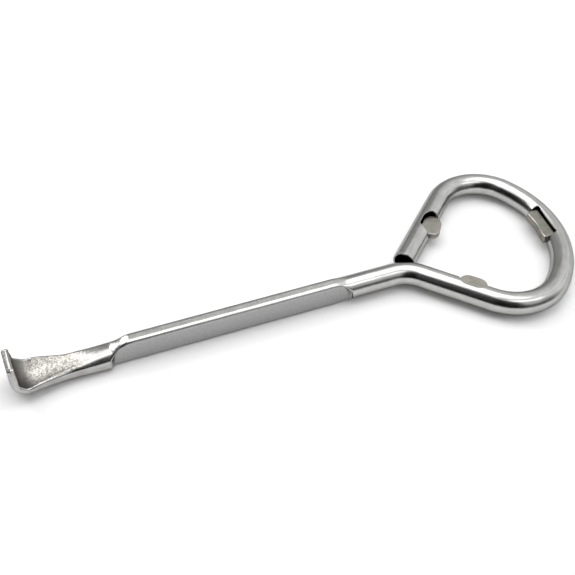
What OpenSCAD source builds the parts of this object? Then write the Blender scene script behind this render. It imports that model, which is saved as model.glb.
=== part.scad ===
// Hooked pry tool bent from one length of round steel tube.
//
// Frame: +X runs along the shaft from the hook towards the loop, +Z is up and
// the tool lies flat with its loop level.  The origin is the middle of the
// footprint, on the plane that the grip rests on.
//
// The tube is described as a chain of stretches that meet face to face: a curled
// tip, a dished blade, a flat-sided grip, a neck, and a loop that ends beside it.

/* [Tube] */
// Outside diameter of the tube
tube_d = 9.525; // [8:0.025:12]
// Wall of the tube
wall = 1.0; // [0.7:0.05:1.15]

/* [Grip] */
// Length of the flat-sided grip between its two shoulders
grip_len = 81; // [50:1:120]
// Height of the grip, larger than the tube because its sides are pressed in
grip_h = 10.8; // [10:0.1:13]
// Width of the grip across its two flats
grip_w = 5.2; // [4.6:0.1:7]
// Radius along the four long edges of the grip
grip_edge_r = 1.2; // [1.2:0.1:2.2]
// Length over which the grip runs into the blade
front_shoulder_len = 9; // [6:0.5:16]
// Length over which the grip runs into the round neck
rear_shoulder_len = 7.5; // [5:0.5:14]

/* [Blade] */
// Length of the blade from the shoulder to the heel of the hook
blade_len = 30.8; // [22:0.2:45]
// Share of that length that is still a hollow neck
blade_neck_share = 0.6; // [0.4:0.05:0.7]
// Width of the squashed tube where the blade begins
blade_neck_w = 9.9; // [9:0.1:12]
// Height of the squashed tube where the blade begins
blade_neck_h = 7.1; // [5:0.1:8.5]
// Width of the blade at the heel
blade_w = 15.6; // [13:0.1:19]
// Thickness of the two closed walls of the blade
blade_t = 2.2; // [1.8:0.1:2.8]
// Height of the blade's rims over its middle
blade_dish = 2.3; // [1:0.1:4]
// Share of the dish that shows on the underside; the rest thickens the rims
under_share = 0.65; // [0.5:0.05:1]
// Height of the blade's underside over the grip's underside, at the shoulder
blade_z = 0.8; // [0:0.1:1.5]
// Further rise of the underside from the shoulder to the heel
heel_rise = 1.8; // [0:0.1:2]

/* [Hook] */
// Outer radius of the bend at the heel
hook_r = 5.6; // [5:0.1:10]
// Angle that the hook turns through
hook_angle = 94; // [80:1:100]
// Width where the bend ends
hook_w = 14.6; // [12:0.1:17]
// Further width half way round the bend
hook_swell = 0.6; // [0:0.1:3]
// Height of the rims where the bend ends
hook_dish = 2.1; // [0.4:0.1:2.4]
// Further height of the rims half way round the bend
hook_cup = 0.7; // [0:0.1:1.2]
// Length of the straight tip past the bend
tip_len = 7.9; // [5:0.1:12]
// Width of the cutting edge
tip_w = 10.4; // [8:0.1:14]
// Thickness at the cutting edge
tip_t = 2.1; // [1.2:0.1:2.2]
// Slant of the cutting edge, as travel along the shaft per unit of width
tip_skew = 0.08; // [0:0.01:0.15]

/* [Loop] */
// Straight neck between the grip's shoulder and the first bend
neck_len = 19.5; // [10:0.5:40]
// Centreline radius of the first bend
neck_bend_r = 15; // [12:0.5:20]
// Angle of the front leg to the shaft
front_leg_angle = 46.6; // [42:0.1:50]
// Straight length of the front leg
front_leg_len = 29.8; // [28:0.1:36]
// Centreline radius of the front corner
front_corner_r = 20.8; // [18:0.1:26]
// Centreline radius of the bow
bow_r = 46.4; // [44:0.1:60]
// Heading of the tube where the bow begins
bow_start = 37; // [30:0.5:40]
// Heading of the tube where the bow ends
bow_end = 120; // [115:0.5:125]
// Centreline radius of the back corner
back_corner_r = 20; // [17:0.5:24]
// Angle of the back leg to the shaft
back_leg_angle = 43.6; // [40:0.1:47]
// Gap between the open end of the tube and the neck
end_gap = 0.4; // [0.3:0.1:2]

/* [Lugs] */
// Thickness of a lug's top
lug_t = 1.0; // [0.8:0.1:1.5]
// Gap between a lug and the edge of its cut-out
lug_slot = 0.2; // [0.1:0.05:0.8]
// Height of the leg lugs' flat tops over the tube's centreline
leg_lug_top = 2.0; // [0.8:0.1:2.2]
// Height of a leg lug outside the wall of the tube
leg_lug_drop = 3.2; // [2:0.1:4.5]
// Length of the two round-ended lugs on the legs
leg_lug_len = 11.8; // [10:0.1:14]
// Reach of the leg lugs past the wall of the tube
leg_lug_reach = 2.8; // [2:0.1:4]
// How far the leg lugs go past the centreline, under the top of the tube
leg_lug_back = 0.8; // [0:0.1:1.5]
// Middle of the front lug, along the leg from the neck's bend
front_lug_at = 20.6; // [16:0.1:22]
// Middle of the back lug, along the leg from the back corner
back_lug_at = 19.6; // [14:0.1:24]
// Height of the bow lug's flat top over the tube's centreline
bow_lug_top = 2.8; // [1.4:0.1:3]
// Height of the bow's lug outside the wall of the tube
bow_lug_drop = 4.6; // [2.5:0.1:5]
// Length of the square-cornered lug on the bow
bow_lug_len = 16.6; // [12:0.1:18]
// Reach of the bow's lug past the wall of the tube
bow_lug_reach = 2.2; // [1.2:0.1:3]
// Distance of the bow lug's outer edge inside the centreline
bow_lug_inset = 2.0; // [0.2:0.1:2.4]
// Corner radius of the bow's lug
bow_lug_corner_r = 0.8; // [0.4:0.1:1.5]
// Heading of the tube at the middle of the bow's lug
bow_lug_heading = 84.5; // [75:0.5:95]

/* [Hidden] */

$fn = 72;
// Steps round each corner of a lofted section, and along its upper and lower sides
corner_steps = 6;
side_steps = 8;
// Steps along each lofted stretch
tip_steps = 8;
hook_steps = 16;
scoop_steps = 10;
blade_neck_steps = 12;
shoulder_steps = 12;
// Shares of the blade's length: where it begins to widen and its underside to rise, where it
// would stop widening, where it begins to dish, and where its walls are closed
widen_start = 0.42;
widen_end = 1.04;
dish_start = 0.12;
closed_at = 0.95;
// How late the walls close along the blade; 1 closes them evenly
closing_power = 1.4;
// Shares of each shoulder's length between which the flats are pressed in
front_press = [0.02, 0.38];
rear_press = [0.55, 0.95];
tube_r = tube_d / 2;
// Height of the tube's centreline, level with the middle of the grip
axis_z = grip_h / 2;

// ---- Places along the shaft; x = 0 is where the first bend begins ----
rear_shoulder_x = -neck_len - rear_shoulder_len;
grip_x = rear_shoulder_x - grip_len;
front_shoulder_x = grip_x - front_shoulder_len;
heel_x = front_shoulder_x - blade_len;

// ---- Loop: headings are measured anticlockwise from +X ----
function heading(a) = [cos(a), sin(a)];
function inward(a) = [-sin(a), cos(a)];
back_heading = 180 + back_leg_angle;
neck_centre = [0, -neck_bend_r];
front_leg_start = neck_centre + neck_bend_r * inward(-front_leg_angle);
front_corner_start = front_leg_start + front_leg_len * heading(-front_leg_angle);
front_corner_centre = front_corner_start + front_corner_r * inward(-front_leg_angle);
bow_start_point = front_corner_centre - front_corner_r * inward(bow_start);
bow_centre = bow_start_point + bow_r * inward(bow_start);
bow_end_point = bow_centre - bow_r * inward(bow_end);
back_corner_centre = bow_end_point + back_corner_r * inward(bow_end);
back_leg_start = back_corner_centre - back_corner_r * inward(back_heading);

// The back leg stops end_gap short of the neck: its inner corner is the nearest
// point of its open end, and meets a circle about the centre of the neck's bend.
end_corner = back_leg_start + tube_r * inward(back_heading) - neck_centre;
end_run = -end_corner * heading(back_heading);
end_miss = norm(end_corner + end_run * heading(back_heading));
end_clear_r = neck_bend_r + tube_r + end_gap;
back_leg_len = end_run - sqrt(end_clear_r * end_clear_r - end_miss * end_miss);

// ---- Blade and hook: a section is a rounded rectangle, bowed across ----
function ease(t) = let (u = max(0, min(1, t))) u * u * (3 - 2 * u);
function mix(a, b, t) = a + (b - a) * t;
// 0 at both ends, 1 half way
function bump(t) = 4 * t * (1 - t);
// 0 up to the first place, 1 from the second on
function ramp(t, from, to) = ease((t - from) / (to - from));

// Rounded rectangle about its middle, anticlockwise from the +Y side; inset shrinks it
function rounded(w, h, r, inset = 0) =
    [for (q = [0:3])
        let (side = (q == 0 || q == 3) ? 1 : -1, rise = q < 2 ? 1 : -1, cx = w / 2 - r)
        each concat(
            [for (i = [0:corner_steps])
                let (a = 90 * (q + i / corner_steps))
                [side * cx + (r - inset) * cos(a), rise * (h / 2 - r) + (r - inset) * sin(a)]],
            q % 2 == 1 ? [] : [for (i = [1:side_steps - 1])
                [side * cx * (1 - 2 * i / side_steps), rise * (h / 2 - inset)]])];

// Section that stands on its underside and whose rims rise by dish
function bowed(w, h, r, dish, inset = 0) =
    [for (p = rounded(w, h, r, inset))
        let (lift = dish * pow(2 * p.x / w, 2))
        [p.x, p.y + h / 2 + lift * mix(under_share, 1, p.y / h + 0.5)]];

// Puts a section at a point (x, z) of the underside; tilt 0 faces it up, 90 faces it to +X
function placed(section, x, z, tilt, skew) =
    [for (p = section) [x + p.y * sin(tilt) - skew * p.x, p.x, z + p.y * cos(tilt)]];

// Blade: t runs from 0 at the shoulder to 1 at the heel
function blade_section_w(t) = mix(blade_neck_w, blade_w, ramp(t, widen_start, widen_end));
function blade_section_h(t) = mix(blade_neck_h, blade_t, pow(min(1, t / closed_at), closing_power));
function blade_section_dish(t) = blade_dish * ramp(t, dish_start, 1);
function blade_under(t) = blade_z + heel_rise * ramp(t, widen_start, 1);
function blade_ring(t, inset) =
    let (w = blade_section_w(t), h = blade_section_h(t))
    placed(bowed(w, h, min(w, h) / 2, blade_section_dish(t), inset),
           front_shoulder_x - blade_len * t, blade_under(t), 0, 0);

// Hook bend: t runs from 0 at the heel to 1 where the straight tip begins
hook_centre_z = blade_z + heel_rise + hook_r;
bend_len = hook_r * hook_angle * PI / 180;
function slant(run) = tip_skew * run / (bend_len + tip_len);
function hook_ring(t) =
    let (a = hook_angle * t,
         w = mix(blade_section_w(1), hook_w, t) + hook_swell * bump(t),
         dish = mix(blade_section_dish(1), hook_dish, t) + hook_cup * bump(t))
    placed(bowed(w, blade_t, blade_t / 2, dish),
           heel_x - hook_r * sin(a), hook_centre_z - hook_r * cos(a), a, slant(bend_len * t));

// Tip: t runs from 0 at the end of the bend to 1 at the cutting edge
function tip_ring(t) =
    let (h = mix(blade_t, tip_t, t), run = tip_len * t)
    placed(bowed(mix(hook_w, tip_w, t), h, h / 2, hook_dish * pow(1 - t, 2)),
           heel_x - hook_r * sin(hook_angle) - run * cos(hook_angle),
           hook_centre_z - hook_r * cos(hook_angle) + run * sin(hook_angle),
           hook_angle, slant(bend_len + run));

// Shoulders: the flats stop short, while the top and the underside blend slowly
function shoulder_ring(x, z, section) = [for (p = section) [x, p.x, z + p.y]];
function front_shoulder_ring(t, inset) =
    let (pinch = ramp(t, front_press[0], front_press[1]),
         w = mix(blade_neck_w, grip_w, pinch),
         h = mix(blade_neck_h, grip_h, ease(t)),
         r = mix(blade_neck_h / 2, grip_edge_r, pinch),
         z = mix(blade_z + blade_neck_h / 2, axis_z, ease(t)))
    shoulder_ring(front_shoulder_x + front_shoulder_len * t, z,
                  rounded(w, h, min(r, w / 2, h / 2), inset));
function rear_shoulder_ring(t, inset) =
    let (pinch = ramp(t, rear_press[0], rear_press[1]),
         w = mix(grip_w, tube_d, pinch),
         h = mix(grip_h, tube_d, ease(t)),
         r = mix(grip_edge_r, tube_r, pinch))
    shoulder_ring(rear_shoulder_x + rear_shoulder_len * t, axis_z,
                  rounded(w, h, min(r, w / 2, h / 2), inset));

// ---- Middle of the footprint ----
hook_rings = [for (i = [0:hook_steps]) hook_ring(i / hook_steps)];
tip_rings = [for (i = [0:tip_steps]) tip_ring(i / tip_steps)];
hook_points = [for (ring = concat(hook_rings, tip_rings)) each ring];
x_min = min([for (p = hook_points) p.x]);
x_max = bow_centre.x + bow_r + tube_r;
y_min = front_corner_centre.y - front_corner_r - tube_r;
y_max = back_corner_centre.y + back_corner_r + tube_r;
module to_origin() {
    translate([-(x_min + x_max) / 2, -(y_min + y_max) / 2, 0]) children();
}

// ---- Shared building blocks ----
// Triangles between ring a and ring b of n points each, seen from outside
function band(a, b, n) =
    [for (i = [0:n - 1]) let (j = (i + 1) % n) each
        [[a + i, b + i, b + j], [a + i, b + j, a + j]]];
function turned(faces) = [for (f = faces) [f[2], f[1], f[0]]];
function indices(start, n) = [for (i = [0:n - 1]) start + i];
function reversed(list) = [for (i = [len(list) - 1:-1:0]) list[i]];

// Solid through a list of rings
module loft(rings) {
    n = len(rings[0]);
    last = len(rings) - 1;
    polyhedron(
        points = [for (ring = rings) each ring],
        faces = concat(
            [for (k = [0:last - 1]) each band(k * n, (k + 1) * n, n)],
            [indices(0, n)],
            [reversed(indices(last * n, n))]),
        convexity = 6);
}

// Hollow stretch between two lists of rings, open at both ends
module loft_shell(outer, inner) {
    n = len(outer[0]);
    last = len(outer) - 1;
    inside = (last + 1) * n;
    polyhedron(
        points = concat([for (ring = outer) each ring], [for (ring = inner) each ring]),
        faces = concat(
            [for (k = [0:last - 1]) each band(k * n, (k + 1) * n, n)],
            [for (k = [0:last - 1]) each turned(band(inside + k * n, inside + (k + 1) * n, n))],
            band(inside, 0, n),
            turned(band(inside + last * n, last * n, n))),
        convexity = 8);
}

module tube_section() {
    difference() {
        circle(r = tube_r);
        circle(r = tube_r - wall);
    }
}

// Places a child, drawn along +X, at a point of the loop
module along(point, angle) {
    translate([point.x, point.y, axis_z]) rotate([0, 0, angle]) children();
}

module tube_run(length) {
    rotate([90, 0, 90]) linear_extrude(length) tube_section();
}

// Bend about centre, from angle a0 to a1 as seen from that centre
module tube_bend(centre, r, a0, a1) {
    along(centre, a0) rotate_extrude(angle = a1 - a0) translate([r, 0]) tube_section();
}

// Bar with round ends, its back edge at y0 and its front edge at y1
module pad_2d(length, y0, y1) {
    r = (y1 - y0) / 2;
    for (end = [-1, 1]) translate([end * (length / 2 - r), y0 + r]) circle(r = r);
    translate([-length / 2 + r, y0]) square([length - 2 * r, 2 * r]);
}

// Bar with corners of radius r
module block_2d(length, y0, y1, r) {
    translate([-length / 2 + r, y0]) square([length - 2 * r, y1 - y0]);
    translate([-length / 2, y0 + r]) square([length, y1 - y0 - 2 * r]);
    for (end = [-1, 1], y = [y0 + r, y1 - r])
        translate([end * (length / 2 - r), y]) circle(r = r);
}

leg_lug_front = tube_r + leg_lug_reach;
bow_lug_front = tube_r + bow_lug_reach;

module leg_lug_outline(grow) {
    pad_2d(leg_lug_len + 2 * grow, -leg_lug_back - grow, leg_lug_front + grow);
}

module bow_lug_outline(grow) {
    block_2d(bow_lug_len + 2 * grow, bow_lug_inset - grow, bow_lug_front + grow,
             bow_lug_corner_r + grow);
}

// Everything over a lug's seat, cut from the wall
module lug_cut(top) {
    translate([0, 0, top - lug_t]) linear_extrude(tube_d) children();
}

// Top of a lug; its underside lies on the seat
module lug_plate(top) {
    translate([0, 0, top - lug_t]) linear_extrude(lug_t) children();
}

// Part of a lug that hangs outside the wall
module lug_body(top, drop) {
    translate([0, 0, top - drop]) linear_extrude(drop - lug_t) children();
}

// ---- Blade end ----
module hook_tip() {
    color("silver") to_origin() loft(tip_rings);
}

module hook_bend() {
    color("gainsboro") to_origin() loft(hook_rings);
}

module scoop_blade() {
    color("lightgray") to_origin()
        loft([for (i = [0:scoop_steps])
            reversed(blade_ring(mix(1, blade_neck_share, i / scoop_steps), 0))]);
}

function blade_neck_rings(inset) =
    [for (i = [0:blade_neck_steps])
        reversed(blade_ring(mix(blade_neck_share, 0, i / blade_neck_steps), inset))];
module blade_neck() {
    color("silver") to_origin() loft_shell(blade_neck_rings(0), blade_neck_rings(wall));
}

// ---- Shaft ----
function front_shoulder_rings(inset) =
    [for (i = [0:shoulder_steps]) reversed(front_shoulder_ring(i / shoulder_steps, inset))];
module front_shoulder() {
    color("darkgray") to_origin() loft_shell(front_shoulder_rings(0), front_shoulder_rings(wall));
}

module grip_bar() {
    color("gray") to_origin() translate([grip_x, 0, axis_z]) rotate([90, 0, 90])
        linear_extrude(grip_len) difference() {
            translate([0, -grip_h / 2]) block_2d(grip_w, 0, grip_h, grip_edge_r);
            translate([0, -grip_h / 2])
                block_2d(grip_w - 2 * wall, wall, grip_h - wall, grip_edge_r - wall);
        }
}

function rear_shoulder_rings(inset) =
    [for (i = [0:shoulder_steps]) reversed(rear_shoulder_ring(i / shoulder_steps, inset))];
module rear_shoulder() {
    color("darkgray") to_origin() loft_shell(rear_shoulder_rings(0), rear_shoulder_rings(wall));
}

module neck_tube() {
    color("silver") to_origin() along([-neck_len, 0], 0) tube_run(neck_len);
}

module neck_bend() {
    color("lightgray") to_origin()
        tube_bend(neck_centre, neck_bend_r, 90 - front_leg_angle, 90);
}

// ---- Loop ----
module front_leg() {
    color("silver") to_origin() along(front_leg_start, -front_leg_angle) difference() {
        tube_run(front_leg_len);
        translate([front_lug_at, 0, 0]) lug_cut(leg_lug_top) leg_lug_outline(lug_slot);
    }
}

module front_corner() {
    color("lightgray") to_origin()
        tube_bend(front_corner_centre, front_corner_r, -front_leg_angle - 90, bow_start - 90);
}

module loop_bow() {
    color("silver") to_origin() difference() {
        tube_bend(bow_centre, bow_r, bow_start - 90, bow_end - 90);
        bow_lug_place() lug_cut(bow_lug_top) bow_lug_outline(lug_slot);
    }
}

module back_corner() {
    color("lightgray") to_origin()
        tube_bend(back_corner_centre, back_corner_r, bow_end - 90, back_heading - 90);
}

module back_leg() {
    color("silver") to_origin() along(back_leg_start, back_heading) difference() {
        tube_run(back_leg_len);
        translate([back_lug_at, 0, 0]) lug_cut(leg_lug_top) leg_lug_outline(lug_slot);
    }
}

// ---- Lugs ----
module leg_lug() {
    lug_plate(leg_lug_top) leg_lug_outline(0);
    difference() {
        lug_body(leg_lug_top, leg_lug_drop) leg_lug_outline(0);
        translate([-leg_lug_len, 0, 0]) rotate([0, 90, 0]) cylinder(r = tube_r, h = 2 * leg_lug_len);
    }
}

module bow_lug_place() {
    along(bow_centre - bow_r * inward(bow_lug_heading), bow_lug_heading) children();
}

module front_lug() {
    color("dimgray") to_origin() along(front_leg_start + front_lug_at * heading(-front_leg_angle),
                                       -front_leg_angle) leg_lug();
}

module back_lug() {
    color("dimgray") to_origin() along(back_leg_start + back_lug_at * heading(back_heading),
                                       back_heading) leg_lug();
}

module bow_lug() {
    color("dimgray") to_origin() {
        bow_lug_place() lug_plate(bow_lug_top) bow_lug_outline(0);
        difference() {
            bow_lug_place() lug_body(bow_lug_top, bow_lug_drop) bow_lug_outline(0);
            along(bow_centre, bow_start - 90)
                rotate_extrude(angle = bow_end - bow_start) translate([bow_r, 0]) circle(r = tube_r);
        }
    }
}

hook_tip();
hook_bend();
scoop_blade();
blade_neck();
front_shoulder();
grip_bar();
rear_shoulder();
neck_tube();
neck_bend();
front_leg();
front_corner();
loop_bow();
back_corner();
back_leg();
front_lug();
bow_lug();
back_lug();
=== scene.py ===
import itertools
import math

import bpy
import numpy as np
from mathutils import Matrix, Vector


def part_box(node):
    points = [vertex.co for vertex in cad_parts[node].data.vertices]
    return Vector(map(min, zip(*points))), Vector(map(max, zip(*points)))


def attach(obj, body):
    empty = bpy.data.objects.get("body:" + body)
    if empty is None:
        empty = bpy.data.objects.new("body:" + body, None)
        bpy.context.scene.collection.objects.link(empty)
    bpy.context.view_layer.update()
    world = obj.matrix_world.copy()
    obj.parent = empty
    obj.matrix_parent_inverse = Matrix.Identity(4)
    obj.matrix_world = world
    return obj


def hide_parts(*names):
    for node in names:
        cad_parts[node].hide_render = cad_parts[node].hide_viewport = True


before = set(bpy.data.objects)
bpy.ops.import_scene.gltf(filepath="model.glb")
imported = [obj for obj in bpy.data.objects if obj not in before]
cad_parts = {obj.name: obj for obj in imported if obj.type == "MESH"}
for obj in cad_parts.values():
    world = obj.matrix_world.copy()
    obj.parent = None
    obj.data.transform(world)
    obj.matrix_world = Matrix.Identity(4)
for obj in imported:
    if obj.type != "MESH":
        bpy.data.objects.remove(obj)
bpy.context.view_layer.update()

MM = 0.001


def box_mm(node):
    low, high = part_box(node)
    return np.array(low) / MM, np.array(high) / MM


# ---- Places along the shaft, from the frame ----
neck_low, neck_high = box_mm("neck_tube")
grip_low, grip_high = box_mm("grip_bar")
blade_neck_low, blade_neck_high = box_mm("blade_neck")
scoop_low, _ = box_mm("scoop_blade")
rear_low, rear_high = box_mm("rear_shoulder")
TUBE_R = (neck_high[1] - neck_low[1]) / 2
AXIS_Y = (neck_high[1] + neck_low[1]) / 2
AXIS_Z = (neck_high[2] + neck_low[2]) / 2
BEND_X = neck_high[0]
NECK_X = rear_high[0]
REAR_X = rear_low[0]
GRIP_X = grip_low[0]
SHOULDER_X = blade_neck_high[0]
HEEL_X = scoop_low[0]
REAR_SHOULDER_LEN = NECK_X - REAR_X
FRONT_SHOULDER_LEN = GRIP_X - SHOULDER_X
BLADE_LEN = SHOULDER_X - HEEL_X
NECK_SHARE = (blade_neck_high[0] - blade_neck_low[0]) / BLADE_LEN
GRIP_W = grip_high[1] - grip_low[1]
GRIP_H = grip_high[2] - grip_low[2]

# ---- Sizes that the frame's boxes don't give, in mm and degrees ----
WALL = 1.0
CUT_EDGE = 0.25

# The blade widens, closes and gets its dish between shares of its length.  UNDER_SHARE is how much
# of the dish its outside follows, and EDGE_ROUND the radius of its edges as a share of its height.
# The hammered hollow sets in between HOLLOW_START and HOLLOW_FULL, RIM_W inside the edges, over
# HOLLOW_FLOOR as a share of the blade's height.
BLADE_NECK_W = 9.9
BLADE_NECK_H = 7.1
BLADE_W = 15.6
BLADE_T = 2.2
BLADE_DISH = 1.8
BLADE_Z = 0.8
WIDEN_START = 0.42
WIDEN_END = 1.04
CLOSED_AT = 0.95
CLOSING_POWER = 1.4
DISH_START = 0.12
CROWN_END = 0.45
NECK_CROWN = 1.0
UNDER_SHARE = 0.65
EDGE_ROUND = 0.36
HEEL_RISE = 1.65
HOLLOW_START = 6
HOLLOW_FULL = 14
HOLLOW_FLOOR = 0.6
HOLLOW_FADE = 0.3
RIM_W = 0.8

# The hook's bend starts HOOK_LEAD before the end of the blade.  At its far edge the tip ends TIP_OVER
# past the strip's length.  Its bevel takes the lower part of its end, up to BEVEL_TOP as a share of its
# thickness, and the slit is deeper within SLIT_NEAR of its near edge.
HOOK_R = 6.72
HOOK_LEAD = 1.2
HOOK_ANGLE = 94
HOOK_W = 14.6
HOOK_SWELL = 0.6
HOOK_DISH = 1.0
HOOK_CUP = 0.3
TIP_LEN = 6.85
TIP_W = 10.4
TIP_T = 2.6
TIP_SKEW = 0.08
TIP_OVER = 0.02
TIP_SLANT = 0.07
TIP_BEVEL = 0.44
BEVEL_TOP = 0.45
SEAM_SHARE = 0.48
SLIT_HALF = 0.07
SLIT_DEPTH = 0.4
SLIT_OPENING = 1.1
SLIT_NEAR = 1.3
SLIT_END = 0.7
SLIT_EDGE = 0.06

# The grip's flats end in a straight run up to FLAT_STRAIGHT, then a quarter of an ellipse
GRIP_EDGE_R = 2.3
GRIP_SWELL = 1.4
FLAT_STRAIGHT = 2.6
FLAT_ROUND = 8.4
FLAT_SLOPE = 1.2
FLAT_EDGE = 0.6
SATIN_FADE = 0.4
FRONT_FLAT_REACH = 8.6
FRONT_FLAT_SHIFT = 1.0
REAR_FLAT_REACH = 6.6

# The loop, from the neck round to the open end
NECK_BEND_R = 15
FRONT_LEG_ANGLE = 46.6
FRONT_LEG_LEN = 29.8
FRONT_CORNER_R = 20.8
BOW_R = 46.4
BOW_START = 37
BOW_END = 120
BACK_CORNER_R = 20
BACK_LEG_ANGLE = 43.6
END_GAP = 0.4

# The lugs: heights are above the tube's axis, and reaches and insets from it.  WAVE_SPAN is the length
# of the waves in the bow lug's edge over 2 pi, and WAVE_CREST the place of one.
LUG_T = 1.0
LUG_SLOT = 0.32
FRONT_LUG_SLOT = 0.04
LUG_ROUND = 0.4
SKIRT_LEAN = 0.05
SKIRT_ROUND = 0.5
SKIRT_FILLET = 0.15
LUG_RIM_W = 0.35
LUG_RIM_DEPTH = 0.5
LEG_LUG_TOP = 2.0
LEG_LUG_DROP = 3.2
LEG_LUG_LEN = 11.8
LEG_LUG_FRONT = TUBE_R + 2.8
LEG_LUG_BACK = 0.8
FRONT_LUG_AT = 20.6
BACK_LUG_AT = 19.6
BACK_LUG_SKEW = 0.16
BOW_LUG_TOP = 2.8
BOW_LUG_DROP = 4.6
BOW_LUG_LEN = 16.6
BOW_LUG_FRONT = TUBE_R + 2.2
BOW_LUG_INSET = 2.0
BOW_LUG_CORNER_R = 0.8
BOW_LUG_HEADING = 84.5
BOW_LUG_SKEW = 0.2
BOW_LUG_SHIFT = 0.3
WAVE_HEIGHT = 0.28
WAVE_CREST = 6.6
WAVE_SPAN = 2.1


# ---- Small maths ----
def ease(t):
    """0 up to t = 0 and 1 from t = 1, with a smooth rise between them."""
    u = np.clip(t, 0, 1)
    return u * u * (3 - 2 * u)


def mix(a, b, t):
    return a + (b - a) * t


def bump(t):
    """0 at both ends, 1 half way."""
    return 4 * t * (1 - t)


def soft_max(a, b, k):
    """Larger of a and b, with the corner between them rounded over about k."""
    h = np.maximum(k - np.abs(a - b), 0) / k
    return np.maximum(a, b) + h * h * k / 4


def soft_min(a, b, k):
    """Smaller of a and b, with the corner between them rounded over about k."""
    return -soft_max(-a, -b, k)


def rounded(a, b, half_a, half_b, r):
    """Distance to a rounded rectangle about the origin."""
    qa = np.abs(a) - half_a + r
    qb = np.abs(b) - half_b + r
    return np.hypot(np.maximum(qa, 0), np.maximum(qb, 0)) + np.minimum(np.maximum(qa, qb), 0) - r


# ---- Meshing: a surface through the cells of a grid where a shape function changes sign ----
PROBE = 0.01
SETTLING_STEPS = 4
LONGEST_STEP = 0.1
LEAST_SLOPE = 0.05
CORNERS = list(itertools.product((0, 1), repeat=3))
EDGES = [(a, b) for a, b in itertools.combinations(CORNERS, 2) if sum(abs(np.subtract(a, b))) == 1]


def slopes(function, points):
    """How fast a function of u, v and w changes along each of them, at each point."""
    changes = []
    for axis in range(3):
        move = np.zeros(3)
        move[axis] = PROBE
        changes.append((function(*(points + move).T) - function(*(points - move).T)) / (2 * PROBE))
    return np.stack(changes, axis=-1)


def surface(shape, axes):
    """Vertices and quads of the surface where shape(u, v, w) is zero, on the grid of three axes.
    The ends along u stay open, and lie exactly in the grid's first and last planes."""
    u, v, w = axes
    reach_u = np.concatenate([[2 * u[0] - u[1]], u, [2 * u[-1] - u[-2]]])
    grid = [reach_u, v, w]
    values = shape(*np.meshgrid(np.clip(reach_u, u[0], u[-1]), v, w, indexing="ij"))
    inside = values < 0
    cells = tuple(n - 1 for n in values.shape)

    def at_corner(field, corner):
        return field[tuple(slice(c, c + n) for c, n in zip(corner, cells))]

    corner_count = sum(at_corner(inside, c).astype(int) for c in CORNERS)
    mixed = (corner_count > 0) & (corner_count < 8)
    number = np.full(cells, -1)
    number[mixed] = np.arange(mixed.sum())
    crossings = np.zeros((mixed.sum(), 3))
    hits = np.zeros(mixed.sum())
    for a, b in EDGES:
        value_a = at_corner(values, a)[mixed]
        value_b = at_corner(values, b)[mixed]
        crossed = (value_a < 0) != (value_b < 0)
        share = np.where(crossed, value_a / np.where(crossed, value_a - value_b, 1), 0)
        point = np.array(a) + share[:, None] * np.subtract(b, a)
        crossings += np.where(crossed[:, None], point, 0)
        hits += crossed
    place = crossings / hits[:, None]
    cell = np.argwhere(mixed)
    points = np.stack([mix(grid[k][cell[:, k]], grid[k][cell[:, k] + 1], place[:, k])
                       for k in range(3)], axis=1)

    quads = []
    for axis in range(3):
        b, c = [k for k in range(3) if k != axis]
        low = [slice(1, -1)] * 3
        high = [slice(1, -1)] * 3
        low[axis] = slice(0, -1)
        high[axis] = slice(1, None)
        starts_inside = inside[tuple(low)]
        crossed = starts_inside != inside[tuple(high)]
        base = np.argwhere(crossed) + [0 if k == axis else 1 for k in range(3)]
        ring = []
        for db, dc in ((0, 0), (1, 0), (1, 1), (0, 1)):
            near = base.copy()
            near[:, b] -= db
            near[:, c] -= dc
            ring.append(number[tuple(near.T)])
        ring = np.stack(ring, axis=1)
        flip = starts_inside[crossed] == (axis == 1)
        ring[flip] = ring[flip][:, ::-1]
        quads.append(ring)
    quads = np.concatenate(quads)

    for _ in range(SETTLING_STEPS):
        points[:, 0] = np.clip(points[:, 0], u[0], u[-1])
        slope = slopes(shape, points)
        size = np.maximum((slope ** 2).sum(1), LEAST_SLOPE)
        step = (shape(*points.T) / size)[:, None] * slope
        points -= np.clip(step, -LONGEST_STEP, LONGEST_STEP)
    points[:, 0] = np.clip(points[:, 0], u[0], u[-1])
    return points, quads


def normals_at(shape, place, points):
    """Normals of the placed surface: the slope of the shape, carried through the placing.
    The second value is true where the placing mirrors the grid."""
    jacobian = slopes(place, points)
    carried = np.linalg.solve(np.swapaxes(jacobian, 1, 2), slopes(shape, points)[:, :, None])[:, :, 0]
    lengths = np.maximum(np.linalg.norm(carried, axis=1, keepdims=True), 1e-9)
    return carried / lengths, np.linalg.det(jacobian[0]) < 0


def piece(name, shape, axes, place, drawn, material, finish_and_painted_light=None):
    """One visible piece for the CAD node of that name.  shape(u, v, w) is negative inside, place()
    puts grid points in the frame, and drawn() gives their place in the tube before it was bent.
    finish_and_painted_light() is 1 where the material's second finish shows, and where the lugs' rims get
    a painted highlight, and 0 elsewhere."""
    points, quads = surface(shape, axes)
    normals, mirrored = normals_at(shape, place, points)
    if mirrored:
        quads = quads[:, ::-1]
    mesh = bpy.data.meshes.new(name)
    placed = place(*points.T)
    mesh.from_pydata((placed * MM).tolist(), [], quads.tolist())
    mesh.update()
    mesh.shade_smooth()
    mesh.normals_split_custom_set_from_vertices(normals.tolist())
    before_bending = mesh.attributes.new("drawn", "FLOAT_VECTOR", "POINT")
    before_bending.data.foreach_set("vector", drawn(*points.T).astype(np.float32).ravel())
    finish_and_light_values = mesh.attributes.new("finish_and_painted_light", "FLOAT", "POINT")
    if finish_and_painted_light:
        finish_and_light_values.data.foreach_set("value", finish_and_painted_light(*points.T).astype(np.float32))
    mesh.materials.append(material)
    obj = bpy.data.objects.new("look_" + name, mesh)
    bpy.context.scene.collection.objects.link(obj)
    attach(obj, "root")
    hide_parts(name)
    return obj


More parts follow.
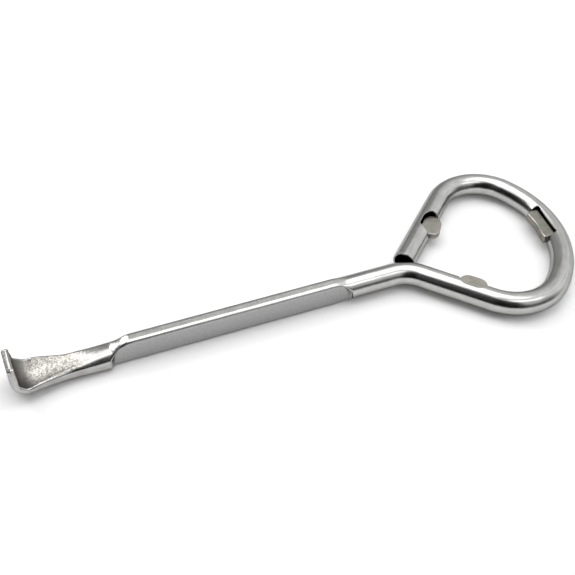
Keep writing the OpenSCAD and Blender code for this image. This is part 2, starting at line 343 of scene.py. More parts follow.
def run(start, end, step):
    """Evenly spaced places from start to end, at most step apart."""
    return np.linspace(start, end, max(2, math.ceil((end - start) / step) + 1))


def runs(*stretches):
    """Places over stretches that follow each other, each given as (start, end, step)."""
    parts = [run(*s)[:-1] for s in stretches]
    return np.concatenate(parts + [[stretches[-1][1]]])


# ---- Blade end: u runs along the strip from the shoulder to the cutting edge, w up from its outside ----
BEND_START = BLADE_LEN - HOOK_LEAD
TIP_START = BEND_START + HOOK_R * math.radians(HOOK_ANGLE)
STRIP_LEN = TIP_START + TIP_LEN
HOOK_Z = BLADE_Z + HEEL_RISE + HOOK_R


def blade_under(t):
    """Height of the blade's outside over the ground, by share of its length."""
    return BLADE_Z + HEEL_RISE * ease((t - WIDEN_START) / (1 - WIDEN_START))


def blade_width(t):
    return mix(BLADE_NECK_W, BLADE_W, ease((t - WIDEN_START) / (WIDEN_END - WIDEN_START)))


def strip_width(u):
    t = np.clip((u - BLADE_LEN) / (TIP_START - BLADE_LEN), 0, 1)
    hook = mix(blade_width(1), HOOK_W, t) + HOOK_SWELL * bump(t)
    tip = mix(HOOK_W, TIP_W, (u - TIP_START) / TIP_LEN)
    return np.where(u < BLADE_LEN, blade_width(u / BLADE_LEN), np.where(u < TIP_START, hook, tip))


def strip_height(u):
    blade = mix(BLADE_NECK_H, BLADE_T, np.clip(u / BLADE_LEN / CLOSED_AT, 0, 1) ** CLOSING_POWER)
    tip = mix(BLADE_T, TIP_T, np.clip((u - TIP_START) / TIP_LEN, 0, 1))
    return np.where(u < BLADE_LEN, blade, tip)


def strip_dish(u):
    """How far the strip's edges stand above its middle; negative where the neck is crowned."""
    crown = NECK_CROWN * (1 - ease(u / BLADE_LEN / CROWN_END))
    blade = BLADE_DISH * ease((u / BLADE_LEN - DISH_START) / (1 - DISH_START)) - crown
    t = np.clip((u - BLADE_LEN) / (TIP_START - BLADE_LEN), 0, 1)
    hook = mix(BLADE_DISH, HOOK_DISH, ease(t)) + HOOK_CUP * bump(ease(t))
    tip = HOOK_DISH * (1 - ease((u - TIP_START) / TIP_LEN))
    return np.where(u < BLADE_LEN, blade, np.where(u < TIP_START, hook, tip))


def strip_lift(u, y):
    """How far the strip's inside rises at y."""
    return strip_dish(u) * (2 * y / strip_width(u)) ** 2


def flattened(y, w, width, height, lift, radius):
    """A rounded bar whose upper side is raised by lift, and its lower side a little less."""
    level = (w - height / 2 - lift * (1 + UNDER_SHARE) / 2) / (1 + lift * (1 - UNDER_SHARE) / height)
    return rounded(y, level, width / 2, height / 2, radius)


def strip(u, y, w):
    height = strip_height(u)
    return flattened(y, w, strip_width(u), height, strip_lift(u, y), EDGE_ROUND * height)


def tip(u, y, w):
    """The last of the strip: its end is ground off at a slant, and its outer wall bevelled.  The slit
    between the two walls shows, deeper at the near edge and closed at the far one."""
    bevel = TIP_BEVEL * np.maximum(BEVEL_TOP * TIP_T - w, 0)
    end = u - STRIP_LEN - TIP_OVER + TIP_SLANT * (TIP_W / 2 - y) + bevel
    body = soft_max(strip(u, y, w), end, CUT_EDGE)
    depth = SLIT_DEPTH + SLIT_OPENING * ease((-y - TIP_W / 2 + SLIT_NEAR) / SLIT_END)
    slit = np.maximum(np.abs(w - SEAM_SHARE * TIP_T) - SLIT_HALF, STRIP_LEN - depth - u)
    slit = np.maximum(slit, y - TIP_W / 2 + SLIT_END)
    return soft_max(body, -slit, SLIT_EDGE)


def place_strip(u, y, w):
    """Lays the strip along the shaft, then bends it up round the hook, leaning by TIP_SKEW."""
    angle = np.clip((u - BEND_START) / HOOK_R, 0, math.radians(HOOK_ANGLE))
    past = np.maximum(u - TIP_START, 0)
    skew = TIP_SKEW * np.maximum(u - BEND_START, 0) / (STRIP_LEN - BEND_START)
    bent_x = HEEL_X + HOOK_LEAD - (HOOK_R - w) * np.sin(angle) - past * np.cos(angle)
    bent_z = HOOK_Z - (HOOK_R - w) * np.cos(angle) + past * np.sin(angle)
    x = np.where(u < BEND_START, SHOULDER_X - u, bent_x) - skew * y
    z = np.where(u < BEND_START, blade_under(u / BEND_START) + w, bent_z)
    return np.stack([x, AXIS_Y + y, z], axis=1)


def drawn_strip(u, y, w):
    return np.stack([SHOULDER_X - u, y, w + BLADE_Z - AXIS_Z], axis=1)


def in_hollow(u, y, w):
    """1 in the hammered hollow of the blade, and 0 on its rims and its outside."""
    inner_side = ease((w - strip_lift(u, y) - HOLLOW_FLOOR * strip_height(u)) / HOLLOW_FADE)
    off_rims = ease((strip_width(u) / 2 - np.abs(y)) / RIM_W - 0.5)
    return inner_side * off_rims * ease((u - HOLLOW_START) / (HOLLOW_FULL - HOLLOW_START))


# ---- Shaft: u is x, v is y from the tool's middle plane, w is z ----
def flat_edge(x, z, middle, reach):
    """How far a place is past the rounded end of the pressed flats, along the shaft."""
    across = (x - middle) / reach
    up = np.maximum(z - FLAT_STRAIGHT, 0) / FLAT_ROUND
    return (np.hypot(np.maximum(across, 0), up) - 1) * abs(reach)


def shaft(x, y, z):
    """The grip and both its shoulders, which run into the blade's neck and the round tube."""
    front = ease((x - SHOULDER_X) / FRONT_SHOULDER_LEN)
    rear = ease((x - REAR_X) / REAR_SHOULDER_LEN)
    height = mix(mix(BLADE_NECK_H, GRIP_H, front), 2 * TUBE_R, rear)
    middle = mix(BLADE_Z + BLADE_NECK_H / 2, AXIS_Z, front)
    width = mix(mix(BLADE_NECK_W, GRIP_W + GRIP_SWELL, front), 2 * TUBE_R, rear)
    radius = mix(mix(EDGE_ROUND * BLADE_NECK_H, GRIP_EDGE_R, front), TUBE_R, rear)
    radius = np.minimum(radius, np.minimum(width, height) / 2)
    crown = NECK_CROWN * (1 - front) * (2 * y / width) ** 2
    body = flattened(y, z - middle + height / 2, width, height, -crown, radius)
    flats = np.abs(y) - GRIP_W / 2 - FLAT_SLOPE * np.maximum(past_flats(x, z), 0)
    return soft_max(body, flats, FLAT_EDGE)


def past_flats(x, z):
    """How far a place is past both ends of the flats; negative between them."""
    return np.maximum(flat_edge(x, z, GRIP_X + FRONT_FLAT_SHIFT, -FRONT_FLAT_REACH),
                      flat_edge(x, z, REAR_X, REAR_FLAT_REACH))


def on_flats(x, y, z):
    """1 on the two pressed flats, and 0 on the rest of the shaft."""
    return ease(1 - past_flats(x, z) / SATIN_FADE) * ease((np.abs(y) - GRIP_W / 2 + 0.45) / 0.35)


def place_shaft(x, y, z):
    return np.stack([x, AXIS_Y + y, z], axis=1)


def drawn_shaft(x, y, z):
    return np.stack([x, y, z - AXIS_Z], axis=1)


# ---- Loop: u runs along the tube, v to its left, w up; a stretch is a line or an arc ----
def heading(degrees):
    """Unit vector on the ground, turned left from +X."""
    a = math.radians(degrees)
    return np.array([math.cos(a), math.sin(a)])


def left_of(degrees):
    return heading(degrees + 90)


class Stretch:
    """A line of the given length, or an arc that turns left by turn degrees, or right where turn is
    negative.  at is where it starts along the tube before bending."""

    def __init__(self, start, angle, at, length=0.0, radius=None, turn=0.0):
        self.start = np.array(start)
        self.angle = angle
        self.at = at
        self.radius = radius
        self.turn = turn
        self.length = length if radius is None else radius * math.radians(abs(turn))

    def place(self, u, v, w):
        if self.radius is None:
            flat = self.start + u[:, None] * heading(self.angle) + v[:, None] * left_of(self.angle)
        else:
            side = math.copysign(1, self.turn)
            centre = self.start + side * self.radius * left_of(self.angle)
            swept = math.radians(self.angle) + side * u / self.radius
            out = np.stack([np.sin(swept), -np.cos(swept)], axis=1) * side
            flat = centre + (self.radius - side * v)[:, None] * out
        return np.column_stack([flat, AXIS_Z + w])

    def drawn(self, u, v, w):
        return np.stack([self.at + u, v, w], axis=1)

    def next(self, **shape):
        """The stretch that carries on from this one's end."""
        end = self.place(np.array([self.length]), np.zeros(1), np.zeros(1))[0][:2]
        return Stretch(end, self.angle + self.turn, self.at + self.length, **shape)


neck_tube = Stretch([NECK_X, AXIS_Y], 0, NECK_X, length=BEND_X - NECK_X)
neck_bend = neck_tube.next(radius=NECK_BEND_R, turn=-FRONT_LEG_ANGLE)
front_leg = neck_bend.next(length=FRONT_LEG_LEN)
front_corner = front_leg.next(radius=FRONT_CORNER_R, turn=BOW_START + FRONT_LEG_ANGLE)
loop_bow = front_corner.next(radius=BOW_R, turn=BOW_END - BOW_START)
back_corner = loop_bow.next(radius=BACK_CORNER_R, turn=180 + BACK_LEG_ANGLE - BOW_END)

# The back leg's open end stops END_GAP short of the outside of the neck's bend
neck_centre = neck_bend.start - NECK_BEND_R * left_of(0)
back_leg = back_corner.next(length=1.0)
end_corner = back_leg.start + TUBE_R * left_of(back_leg.angle) - neck_centre
end_run = -end_corner @ heading(back_leg.angle)
end_miss = np.linalg.norm(end_corner + end_run * heading(back_leg.angle))
back_leg.length = end_run - math.sqrt((NECK_BEND_R + TUBE_R + END_GAP) ** 2 - end_miss ** 2)


def tube(u, v, w):
    return np.abs(np.hypot(v, w) - TUBE_R + WALL / 2) - WALL / 2


def open_tube(u, v, w):
    """The back leg's end, with its cut edges rounded a little."""
    return soft_max(tube(u, v, w), u - back_leg.length, CUT_EDGE)


# ---- Lugs: x runs along the lug from its middle, y away from the tube's axis ----
def leg_outline(x, y, grow):
    half = (LEG_LUG_FRONT + LEG_LUG_BACK) / 2
    return rounded(x, y - LEG_LUG_FRONT + half, LEG_LUG_LEN / 2 + grow, half + grow, half + grow)


def egg_outline(x, y, grow):
    """The back lug was pushed out further towards the open end of the tube."""
    return leg_outline(x, y - BACK_LUG_SKEW * x * ease((y + 1) / 3), grow)


def bow_outline(x, y, grow):
    """The bow's lug leans towards the front of the loop, and its free edge is wavy."""
    middle = (BOW_LUG_FRONT + BOW_LUG_INSET) / 2
    half = (BOW_LUG_FRONT - BOW_LUG_INSET) / 2
    wave = WAVE_HEIGHT * np.cos((x - WAVE_CREST) / WAVE_SPAN) * ease((y - middle) / half)
    return rounded(x + BOW_LUG_SHIFT + BOW_LUG_SKEW * (y - middle), y - middle - wave,
                   BOW_LUG_LEN / 2 + grow, half + grow, BOW_LUG_CORNER_R + grow)


class Lug:
    """A ledge that is cut and pressed from a tube's wall.  outline(x, y, grow) is negative inside it as
    seen from above, grown by grow, and local(u, v) turns the tube's coordinates into x and y."""

    def __init__(self, outline, local, top, drop, slot):
        self.outline = outline
        self.local = local
        self.top = top
        self.drop = drop
        self.slot = slot

    def cut(self, wall, u, v, w):
        """The wall of the tube, less what is over the lug's seat and the slot round it."""
        hole = np.maximum(self.outline(*self.local(u, v), self.slot), self.top - LUG_T - w)
        return soft_max(wall, -hole, CUT_EDGE)

    def shape(self, u, v, w):
        """A pad that runs into the tube, and a skirt under it that leans back to the wall."""
        edge = self.outline(*self.local(u, v), 0)
        below = self.top - LUG_T - w
        pad = soft_max(edge, np.maximum(w - self.top, below), LUG_ROUND)
        lean = SKIRT_LEAN * np.maximum(below, 0) ** 2
        skirt = soft_max(edge + lean, np.maximum(-below, self.top - self.drop - w), SKIRT_ROUND)
        skirt = np.maximum(skirt, TUBE_R - np.hypot(v, w))
        return soft_min(pad, skirt, SKIRT_FILLET)

    def rim_highlight(self, u, v, w):
        """1 on the edge round the lug's top, which gets a painted highlight, and 0 on the rest of it."""
        edge = self.outline(*self.local(u, v), 0)
        return ease(1 + edge / LUG_RIM_W) * ease(1 + (w - self.top) / LUG_RIM_DEPTH)


BOW_LUG_AT = BOW_R * math.radians(BOW_LUG_HEADING - BOW_START)


def from_front_leg(u, v):
    return u - FRONT_LUG_AT, v


def from_back_leg(u, v):
    return u - BACK_LUG_AT, v


def from_bow(u, v):
    """The bow's coordinates as seen from the middle of its straight lug."""
    swept = (u - BOW_LUG_AT) / BOW_R
    return (BOW_R - v) * np.sin(swept), BOW_R - (BOW_R - v) * np.cos(swept)


front_lug = Lug(leg_outline, from_front_leg, LEG_LUG_TOP, LEG_LUG_DROP, FRONT_LUG_SLOT)
back_lug = Lug(egg_outline, from_back_leg, LEG_LUG_TOP, LEG_LUG_DROP, LUG_SLOT)
bow_lug = Lug(bow_outline, from_bow, BOW_LUG_TOP, BOW_LUG_DROP, LUG_SLOT)


def front_leg_shape(u, v, w):
    return front_lug.cut(tube(u, v, w), u, v, w)


def back_leg_shape(u, v, w):
    return back_lug.cut(open_tube(u, v, w), u, v, w)


def bow_shape(u, v, w):
    return bow_lug.cut(tube(u, v, w), u, v, w)


# ---- Materials: pattern scales are per mm of the tube before bending, and RELIEF is in metres ----
LINE_STRETCH = 0.03
LINE_SCALE = 2.6
GRAIN_SCALE = 2.4
DENT_SCALE = 1.5
STAIN_SCALE = 0.35
CLOUD_SCALE = 0.22
SHADE = 0.6
RELIEF = 0.00001
# Painted shade: the near-black colour of the tube's inside
BORE_SHADE_COLOUR = (0.03, 0.028, 0.026)


def node(tree, kind, **settings):
    """A new node.  Each setting goes to the input of that name, or else to the node itself."""
    made = tree.nodes.new(kind)
    for key, value in settings.items():
        if key in made.inputs:
            made.inputs[key].default_value = value
        else:
            setattr(made, key, value)
    return made


def link(tree, source, target):
    tree.links.new(source, target)


def maths(tree, operation, *values):
    """One step of arithmetic on outputs of nodes or plain numbers."""
    made = node(tree, "ShaderNodeMath", operation=operation)
    for socket, value in zip(made.inputs, values):
        if isinstance(value, (int, float)):
            socket.default_value = value
        else:
            link(tree, value, socket)
    return made.outputs["Value"]


def product(tree, result, *factors):
    for factor in factors:
        result = maths(tree, "MULTIPLY", result, factor)
    return result


def total(tree, first, second):
    """Sum of two values, each given with its weight."""
    return maths(tree, "MULTIPLY_ADD", *second, maths(tree, "MULTIPLY", *first))


def noise(tree, vector, scale, detail=4.0, roughness=0.55):
    made = node(tree, "ShaderNodeTexNoise", Scale=scale, Detail=detail, Roughness=roughness)
    link(tree, vector, made.inputs["Vector"])
    return made.outputs["Fac"]


def spread(tree, value, low, high, to_low, to_high):
    """Carries low...high over to to_low...to_high, and stays at the ends beyond them."""
    made = tree.nodes.new("ShaderNodeMapRange")
    for key, number in (("From Min", low), ("From Max", high), ("To Min", to_low), ("To Max", to_high)):
        made.inputs[key].default_value = number
    link(tree, value, made.inputs["Value"])
    return made.outputs["Result"]


def blend(tree, factor, a, b, data_type="RGBA"):
    """a where factor is 0 and b where it is 1.  Each is an output, or a plain colour or number."""
    made = node(tree, "ShaderNodeMix", data_type=data_type)
    link(tree, factor, made.inputs["Factor"])
    socket_type = "RGBA" if data_type == "RGBA" else "VALUE"
    for name, value in (("A", a), ("B", b)):
        target = [s for s in made.inputs if s.name == name and s.type == socket_type][0]
        if isinstance(value, tuple):
            target.default_value = (*value, 1)
        elif isinstance(value, float):
            target.default_value = value
        else:
            link(tree, value, target)
    return [s for s in made.outputs if s.type == socket_type][0]


def darker(colour):
    return tuple(SHADE * c for c in colour)


def painted_bore_shade(tree, drawn):
    """1 on the inside of the tube, which is painted near black as its shade, and 0 from just under its
    outside.
    """
    across = node(tree, "ShaderNodeMapping", Scale=(0.0, 1.0, 1.0))
    link(tree, drawn, across.inputs["Vector"])
    radius = node(tree, "ShaderNodeVectorMath", operation="LENGTH")
    link(tree, across.outputs["Vector"], radius.inputs[0])
    return spread(tree, radius.outputs["Value"], TUBE_R - 0.8 * WALL, TUBE_R - 0.4 * WALL, 1, 0)


def dent_pattern(tree, drawn, dent_colour, gap_colour, bend_shade):
    """Colour and height of a pattern of small dents in dent_colour, with gap_colour between them: the
    hammered hollow, and the tones of the lugs' painted rim highlight.  Painted shade darkens it along
    the tube between the two places of bend_shade, towards the hook's bend."""
    dent = noise(tree, drawn, DENT_SCALE, detail=2.0)
    colour = blend(tree, spread(tree, dent, 0.4, 0.6, 0, 1), dent_colour, gap_colour)
    # Painted shade, darker towards the hook's bend
    if bend_shade:
        place = tree.nodes.new("ShaderNodeSeparateXYZ")
        link(tree, drawn, place.inputs["Vector"])
        colour = blend(tree, spread(tree, place.outputs["X"], *bend_shade, 0, 1), colour, darker(gap_colour))
    return colour, dent


def steel(name, clean, worn, roughness, lines=1.0, tint=None, bore_shade=False, finish_and_painted_light=None, bend_shade=None):
    """Bare steel.  Its patterns are laid out in mm of the tube before bending, so that they follow it.
    lines is the strength of the drawing lines, tint a stain's colour, and bore_shade true where the
    inside of the tube shows, which gets painted shade.  finish_and_painted_light is a second finish, and
    on the lugs' rims a painted highlight, for where the attribute of that name is 1: its two colours, its
    roughness and the depth of its dents.  bend_shade is where painted shade darkens it towards the hook."""
    material = bpy.data.materials.new(name)
    material.use_nodes = True
    tree = material.node_tree
    shader = tree.nodes["Principled BSDF"]
    shader.inputs["Metallic"].default_value = 1.0
    shader.inputs["Specular Tint"].default_value = (0.45, 0.45, 0.45, 1)
    drawn = node(tree, "ShaderNodeAttribute", attribute_name="drawn").outputs["Vector"]
    along = node(tree, "ShaderNodeMapping", Scale=(LINE_STRETCH, 1.0, 1.0))
    link(tree, drawn, along.inputs["Vector"])

    line = noise(tree, along.outputs["Vector"], LINE_SCALE, detail=6.0, roughness=0.7)
    cloud = noise(tree, drawn, CLOUD_SCALE, detail=3.0)
    grain = noise(tree, drawn, GRAIN_SCALE, detail=5.0, roughness=0.65)

    in_lines = spread(tree, line, 0.52, 0.78, 0, min(1, 0.6 * lines))
    colour = blend(tree, spread(tree, cloud, 0.35, 0.68, 0, 1), clean, worn)
    colour = blend(tree, in_lines, colour, darker(worn))
    colour = blend(tree, spread(tree, grain, 0.55, 0.8, 0, 0.3), colour, darker(worn))
    if tint:
        stain = noise(tree, drawn, STAIN_SCALE, detail=2.0)
        colour = blend(tree, spread(tree, stain, 0.48, 0.7, 0, 0.8), colour, tint)
    # The tube's inside gets painted shade, near black
    if bore_shade:
        colour = blend(tree, painted_bore_shade(tree, drawn), colour, BORE_SHADE_COLOUR)
    grained = spread(tree, grain, 0.3, 0.75, roughness - 0.1, roughness + 0.06)
    rough = total(tree, (line, 0.12), (grained, 1))
    height = total(tree, (spread(tree, line, 0.3, 0.7, 0, lines), 1), (grain, 0.35))

    # Second finish, which on the lugs' rims is a painted highlight and in the blade's hollow carries
    # painted shade towards the hook
    if finish_and_painted_light:
        dent_colour, gap_colour, worked_roughness, depth = finish_and_painted_light
        share = node(tree, "ShaderNodeAttribute", attribute_name="finish_and_painted_light").outputs["Fac"]
        second, dent = dent_pattern(tree, drawn, dent_colour, gap_colour, bend_shade)
        colour = blend(tree, share, colour, second)
        rough = total(tree, (rough, 1), (share, worked_roughness - roughness))
        height = total(tree, (height, 1), (product(tree, dent, share), depth))

    link(tree, colour, shader.inputs["Base Color"])
    link(tree, rough, shader.inputs["Roughness"])
    relief = node(tree, "ShaderNodeBump", Strength=0.5, Distance=RELIEF)
    link(tree, height, relief.inputs["Height"])
    link(tree, relief.outputs["Normal"], shader.inputs["Normal"])
    return material


POLISHED = ((0.50, 0.50, 0.49), (0.44, 0.44, 0.43))
BLADE_SIDE = ((0.48, 0.48, 0.47), (0.40, 0.39, 0.38))
HEAT_MARKED = ((0.31, 0.31, 0.275), (0.22, 0.23, 0.19))
HEAT_STAIN = (0.36, 0.29, 0.285)
SATIN = ((0.42, 0.42, 0.42), (0.36, 0.36, 0.36))
PEENED = ((0.58, 0.56, 0.52), (0.25, 0.24, 0.225))
# Painted highlight on the edges round the lugs' tops
RIM_HIGHLIGHT = ((0.66, 0.66, 0.64), (0.56, 0.56, 0.54))
tube_steel = steel("drawn_steel", *POLISHED, 0.16, lines=1.7, bore_shade=True)
shaft_steel = steel("pressed_steel", *POLISHED, 0.15, lines=1.3, finish_and_painted_light=(*SATIN, 0.32, 0.0))
# The blade's hollow gets painted shade towards the hook's bend
blade_steel = steel("peened_steel", *BLADE_SIDE, 0.18, lines=0.6, finish_and_painted_light=(*PEENED, 0.36, 40.0),
                    bend_shade=(HEEL_X + 4, HEEL_X - 1))
# The lugs' rims get a painted highlight
lug_steel = steel("heat_marked_steel", *HEAT_MARKED, 0.34, lines=0.3, tint=HEAT_STAIN,
                  finish_and_painted_light=(*RIM_HIGHLIGHT, 0.15, 0.0))


# ---- Pieces: each grid is finer where there is more shape ----
# How far fine grids reach from a lug's middle, in the tube that it is cut from and in the lug itself
LEG_CUT_GRID = 6.8
BOW_CUT_GRID = 10.0
LEG_LUG_GRID = (6.4, 6.4)
BOW_LUG_GRID = (10.2, 9.6)
strip_y = run(-8.3, 8.3, 0.2)
neck_end = NECK_SHARE * BLADE_LEN
edge_start = STRIP_LEN - 1.2
tip_w = runs((-0.3, 0.9, 0.14), (0.9, 1.6, 0.05), (1.6, 4.6, 0.16))
for name, shape, u_places, w_places, slot in (
        ("blade_neck", strip, run(0, neck_end, 0.3), run(-0.5, 7.5, 0.2), "polished_tube"),
        ("scoop_blade", strip, run(neck_end, BLADE_LEN, 0.2), run(-0.5, 6.5, 0.16), "blade"),
        ("hook_bend", strip, run(BLADE_LEN, TIP_START, 0.16), run(-0.5, 6.2, 0.16), "blade"),
        ("hook_tip", tip, runs((TIP_START, edge_start, 0.2), (edge_start, STRIP_LEN + 0.3, 0.07)),
         tip_w, "blade")):
    piece(name, shape, (u_places, strip_y, w_places), place_strip, drawn_strip, blade_steel,
          in_hollow)

shaft_y = run(-5.3, 5.3, 0.2)
shaft_z = run(-0.3, GRIP_H + 0.3, 0.2)
grip_x = runs((GRIP_X, GRIP_X + 12, 0.3), (GRIP_X + 12, REAR_X - 1, 1.0), (REAR_X - 1, REAR_X, 0.2))
for name, x_places, slot in (("front_shoulder", run(SHOULDER_X, GRIP_X, 0.18), "polished_tube"),
                             ("grip_bar", grip_x, "grip"),
                             ("rear_shoulder", run(REAR_X, NECK_X, 0.18), "polished_tube")):
    piece(name, shaft, (x_places, shaft_y, shaft_z), place_shaft, drawn_shaft, shaft_steel,
          on_flats)

SECTION = TUBE_R + 0.35
plain = run(-SECTION, SECTION, 0.34)
fine = run(-SECTION, SECTION, 0.18)
for name, stretch, step in (("neck_tube", neck_tube, 0.8), ("neck_bend", neck_bend, 0.4),
                            ("front_corner", front_corner, 0.5), ("back_corner", back_corner, 0.5)):
    piece(name, tube, (run(0, stretch.length, step), plain, plain),
          stretch.place, stretch.drawn, tube_steel)


def finer_within(middle, half, end):
    """Grid stretches from 0 to end, with the fine one within half of the middle."""
    return (0, middle - half, 0.6), (middle - half, middle + half, 0.18), (middle + half, end, 0.6)


open_end = back_leg.length
for name, shape, stretch, grid_stretches in (
        ("front_leg", front_leg_shape, front_leg,
         finer_within(FRONT_LUG_AT, LEG_CUT_GRID, front_leg.length)),
        ("loop_bow", bow_shape, loop_bow,
         finer_within(BOW_LUG_AT, BOW_CUT_GRID, loop_bow.length)),
        ("back_leg", back_leg_shape, back_leg,
         (*finer_within(BACK_LUG_AT, LEG_CUT_GRID, open_end - 1),
          (open_end - 1, open_end + 0.3, 0.12)))):
    piece(name, shape, (runs(*grid_stretches), fine, fine),
          stretch.place, stretch.drawn, tube_steel)

leg_lug_v = run(-LEG_LUG_BACK - 0.8, LEG_LUG_FRONT + 1.2, 0.14)
bow_lug_v = run(0.8, BOW_LUG_FRONT + 0.7, 0.12)
for name, lug, stretch, at, (before, after), v_places in (
        ("front_lug", front_lug, front_leg, FRONT_LUG_AT, LEG_LUG_GRID, leg_lug_v),
        ("back_lug", back_lug, back_leg, BACK_LUG_AT, LEG_LUG_GRID, leg_lug_v),
        ("bow_lug", bow_lug, loop_bow, BOW_LUG_AT, BOW_LUG_GRID, bow_lug_v)):
    u_places = run(at - before, at + after, 0.14)
    w_places = run(lug.top - lug.drop - 0.3, lug.top + 0.3, 0.12)
    piece(name, lug.shape, (u_places, v_places, w_places),
          stretch.place, stretch.drawn, lug_steel, lug.rim_highlight)


# ---- Stage, in metres ----
CAMERA_TURN = math.radians(20.45)
CAMERA_PITCH = math.radians(46)
CAMERA_TARGET = Vector((-6.99, 4.03, 5.40)) * MM
CAMERA_DISTANCE = 321.78 * MM
FLOOR_HALF = 0.6
FLOOR_GLOW = 0.06
FADE_START = 0.22
FADE_END = 0.45


def floor_material():
    """A pale floor that glows a little to the camera and in reflections, and fades to white far out."""
    material = bpy.data.materials.new("floor")
    material.use_nodes = True
    tree = material.node_tree
    shader = tree.nodes["Principled BSDF"]
    shader.inputs["Base Color"].default_value = (0.93, 0.93, 0.93, 1)
    shader.inputs["Roughness"].default_value = 0.9
    shader.inputs["Specular IOR Level"].default_value = 0.0
    shader.inputs["Emission Color"].default_value = (1, 1, 1, 1)
    path = tree.nodes.new("ShaderNodeLightPath")
    seen = maths(tree, "MAXIMUM", path.outputs["Is Camera Ray"], path.outputs["Is Glossy Ray"])
    out = node(tree, "ShaderNodeVectorMath", operation="LENGTH")
    link(tree, tree.nodes.new("ShaderNodeTexCoord").outputs["Object"], out.inputs[0])
    glow = spread(tree, out.outputs["Value"], FADE_START, FADE_END, FLOOR_GLOW, 1.0)
    link(tree, product(tree, seen, glow), shader.inputs["Emission Strength"])
    return material


def lay_floor():
    corners = [(-1, -1, 0), (1, -1, 0), (1, 1, 0), (-1, 1, 0)]
    mesh = bpy.data.meshes.new("floor")
    mesh.from_pydata([FLOOR_HALF * Vector(corner) for corner in corners], [], [(0, 1, 2, 3)])
    mesh.materials.append(floor_material())
    floor = bpy.data.objects.new("floor", mesh)
    bpy.context.scene.collection.objects.link(floor)


def ramp(tree, value, stops):
    """Grey levels by value, given as (place, level) pairs."""
    made = tree.nodes.new("ShaderNodeValToRGB")
    while len(made.color_ramp.elements) < len(stops):
        made.color_ramp.elements.new(0.5)
    for element, (place, level) in zip(made.color_ramp.elements, stops):
        element.position = place
        element.color = (level, level, level, 1)
    link(tree, value, made.inputs["Fac"])
    return made.outputs["Color"]


def towards(tree, direction, angle):
    """How far a direction points to a place on the horizon, turned by angle from +X."""
    made = node(tree, "ShaderNodeVectorMath", operation="DOT_PRODUCT")
    made.inputs[1].default_value = (math.cos(angle), math.sin(angle), 0)
    link(tree, direction, made.inputs[0])
    return made.outputs["Value"]


def room_light(tree, direction):
    """Strength of the light from a direction: pale overhead and to the camera's right, grey beyond
    the tool, and dark to the left, along the near horizon and where the camera stands."""
    part = tree.nodes.new("ShaderNodeSeparateXYZ")
    link(tree, direction, part.inputs["Vector"])
    height = part.outputs["Z"]
    flat = node(tree, "ShaderNodeVectorMath", operation="MULTIPLY")
    flat.inputs[1].default_value = (1, 1, 0)
    link(tree, direction, flat.inputs[0])
    level = node(tree, "ShaderNodeVectorMath", operation="NORMALIZE")
    link(tree, flat.outputs["Vector"], level.inputs[0])
    near = towards(tree, level.outputs["Vector"], -CAMERA_TURN - math.radians(90))
    right = towards(tree, level.outputs["Vector"], -CAMERA_TURN)

    far_side = product(tree, spread(tree, right, 0.0, 0.35, 0.45, 0.95),
                       spread(tree, right, 0.5, 0.9, 1.0, 1.25), spread(tree, height, 0, 0.3, 0.7, 1))
    by_height = ramp(tree, height, ((0, 0.3), (0.15, 0.16), (0.3, 0.14), (0.47, 0.49), (0.62, 0.88),
                                    (0.75, 1.0)))
    near_side = product(tree, by_height, spread(tree, right, -0.3, 0.5, 0.12, 1.0))
    sides = blend(tree, spread(tree, near, -0.1, 0.3, 0, 1), far_side, near_side, "FLOAT")
    left_gain = maths(tree, "MAXIMUM", spread(tree, right, -0.95, -0.6, 0.15, 1.0),
                      spread(tree, height, 0.65, 0.85, 0, 1))
    camera_gain = maths(tree, "MAXIMUM", spread(tree, near, 0.84, 0.94, 1.0, 0.06),
                        spread(tree, height, 0.8, 0.97, 0, 1))
    overhead = spread(tree, height, 0.9, 0.97, 0, 1)
    return blend(tree, overhead, product(tree, sides, left_gain, camera_gain), 1.1, "FLOAT")


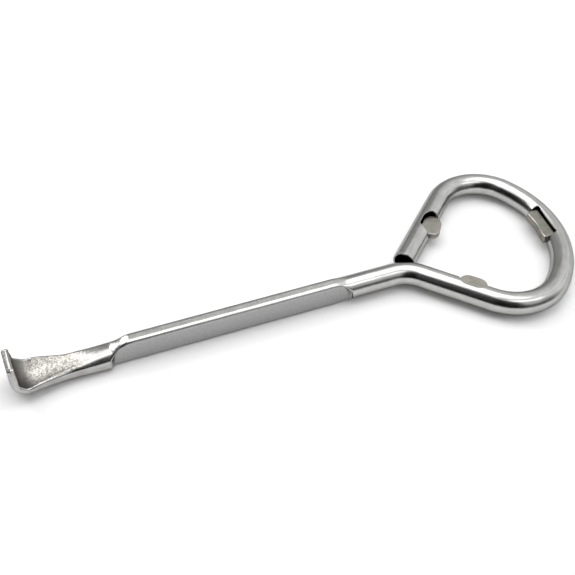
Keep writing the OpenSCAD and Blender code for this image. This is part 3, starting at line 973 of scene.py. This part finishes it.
def studio():
    """A world that is white to the camera, and lights the tool as a room does."""
    world = bpy.data.worlds.new("studio")
    bpy.context.scene.world = world
    world.use_nodes = True
    tree = world.node_tree
    sky = tree.nodes["Background"]
    sky.inputs["Color"].default_value = (1, 1, 1, 1)
    direction = tree.nodes.new("ShaderNodeTexCoord").outputs["Generated"]
    link(tree, room_light(tree, direction), sky.inputs["Strength"])

    path = tree.nodes.new("ShaderNodeLightPath")
    shown = node(tree, "ShaderNodeBackground", Color=(1, 1, 1, 1), Strength=1.0)
    pick = tree.nodes.new("ShaderNodeMixShader")
    link(tree, path.outputs["Is Camera Ray"], pick.inputs["Fac"])
    link(tree, sky.outputs["Background"], pick.inputs[1])
    link(tree, shown.outputs["Background"], pick.inputs[2])
    link(tree, pick.outputs["Shader"], tree.nodes["World Output"].inputs["Surface"])


def softbox(name, place, turn, size, watts):
    """A lamp that faces down, then is tilted and turned about X, Y and Z by the given degrees."""
    light = bpy.data.lights.new(name, "AREA")
    light.shape = "RECTANGLE"
    light.size, light.size_y = size
    light.energy = watts
    obj = bpy.data.objects.new(name, light)
    obj.location = place
    obj.rotation_euler = [math.radians(a) for a in turn]
    bpy.context.scene.collection.objects.link(obj)


def place_camera():
    camera = bpy.data.objects.new("camera", bpy.data.cameras.new("camera"))
    camera.data.lens = 50
    camera.data.sensor_width = 36
    camera.data.clip_start = 0.01
    look = Vector((math.sin(CAMERA_TURN) * math.cos(CAMERA_PITCH),
                   math.cos(CAMERA_TURN) * math.cos(CAMERA_PITCH), -math.sin(CAMERA_PITCH)))
    camera.location = CAMERA_TARGET - CAMERA_DISTANCE * look
    camera.rotation_euler = look.to_track_quat("-Z", "Y").to_euler()
    bpy.context.scene.collection.objects.link(camera)
    bpy.context.scene.camera = camera


lay_floor()
studio()
softbox("overhead", (0.02, 0.18, 0.55), (0, 0, 0), (0.62, 0.5), 1.9)
softbox("near_strip", (0.25, -0.27, 0.52), (0, 0, 0), (0.4, 0.17), 0.36)
softbox("far_left", (-0.4, 0.5, 0.5), (-52, 0, 39), (0.25, 0.25), 1.6)
place_camera()
bpy.context.scene.view_settings.view_transform = "Standard"
